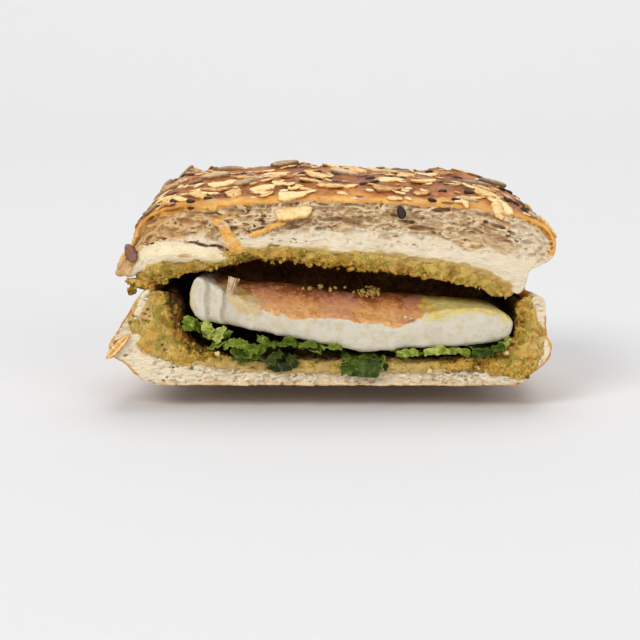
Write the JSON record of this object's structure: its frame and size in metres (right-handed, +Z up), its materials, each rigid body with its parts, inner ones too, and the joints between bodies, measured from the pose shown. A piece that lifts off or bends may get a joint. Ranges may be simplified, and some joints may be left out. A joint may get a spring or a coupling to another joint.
{
  "type": "panini half",
  "caption": "Half of a seeded panini, cut across, filled with pesto, a slab of browned white cheese and green leaves, resting on its flat base.",
  "frame": {"origin": "on the flat base, under the middle of the half", "axes": "+X along the cut face to the right as seen from the cut, +Y from the cut face to the rounded end, +Z up"},
  "size_m": [0.1288, 0.0677, 0.0603],
  "materials": {
    "crust": "baked, slightly glossy seeded crust, stood in for by matte plastic",
    "crumb": "soft open crumb, matte",
    "pesto": "moist and granular",
    "cheese": "firm white cheese with a browned top, slightly moist",
    "leaf": "wilted and slightly shiny"
  },
  "bodies": {
    "root": {"top_bread": "crust", "bottom_bread": "crumb", "pesto_top": "pesto", "pesto_bottom": "pesto", "cheese": "cheese", "leaf_1": "leaf", "leaf_2": "leaf", "leaf_3": "leaf", "leaf_4": "leaf", "leaf_5": "leaf", "leaf_6": "leaf", "leaf_7": "leaf", "leaf_8": "leaf", "leaf_9": "leaf"}
  },
  "joints": []
}
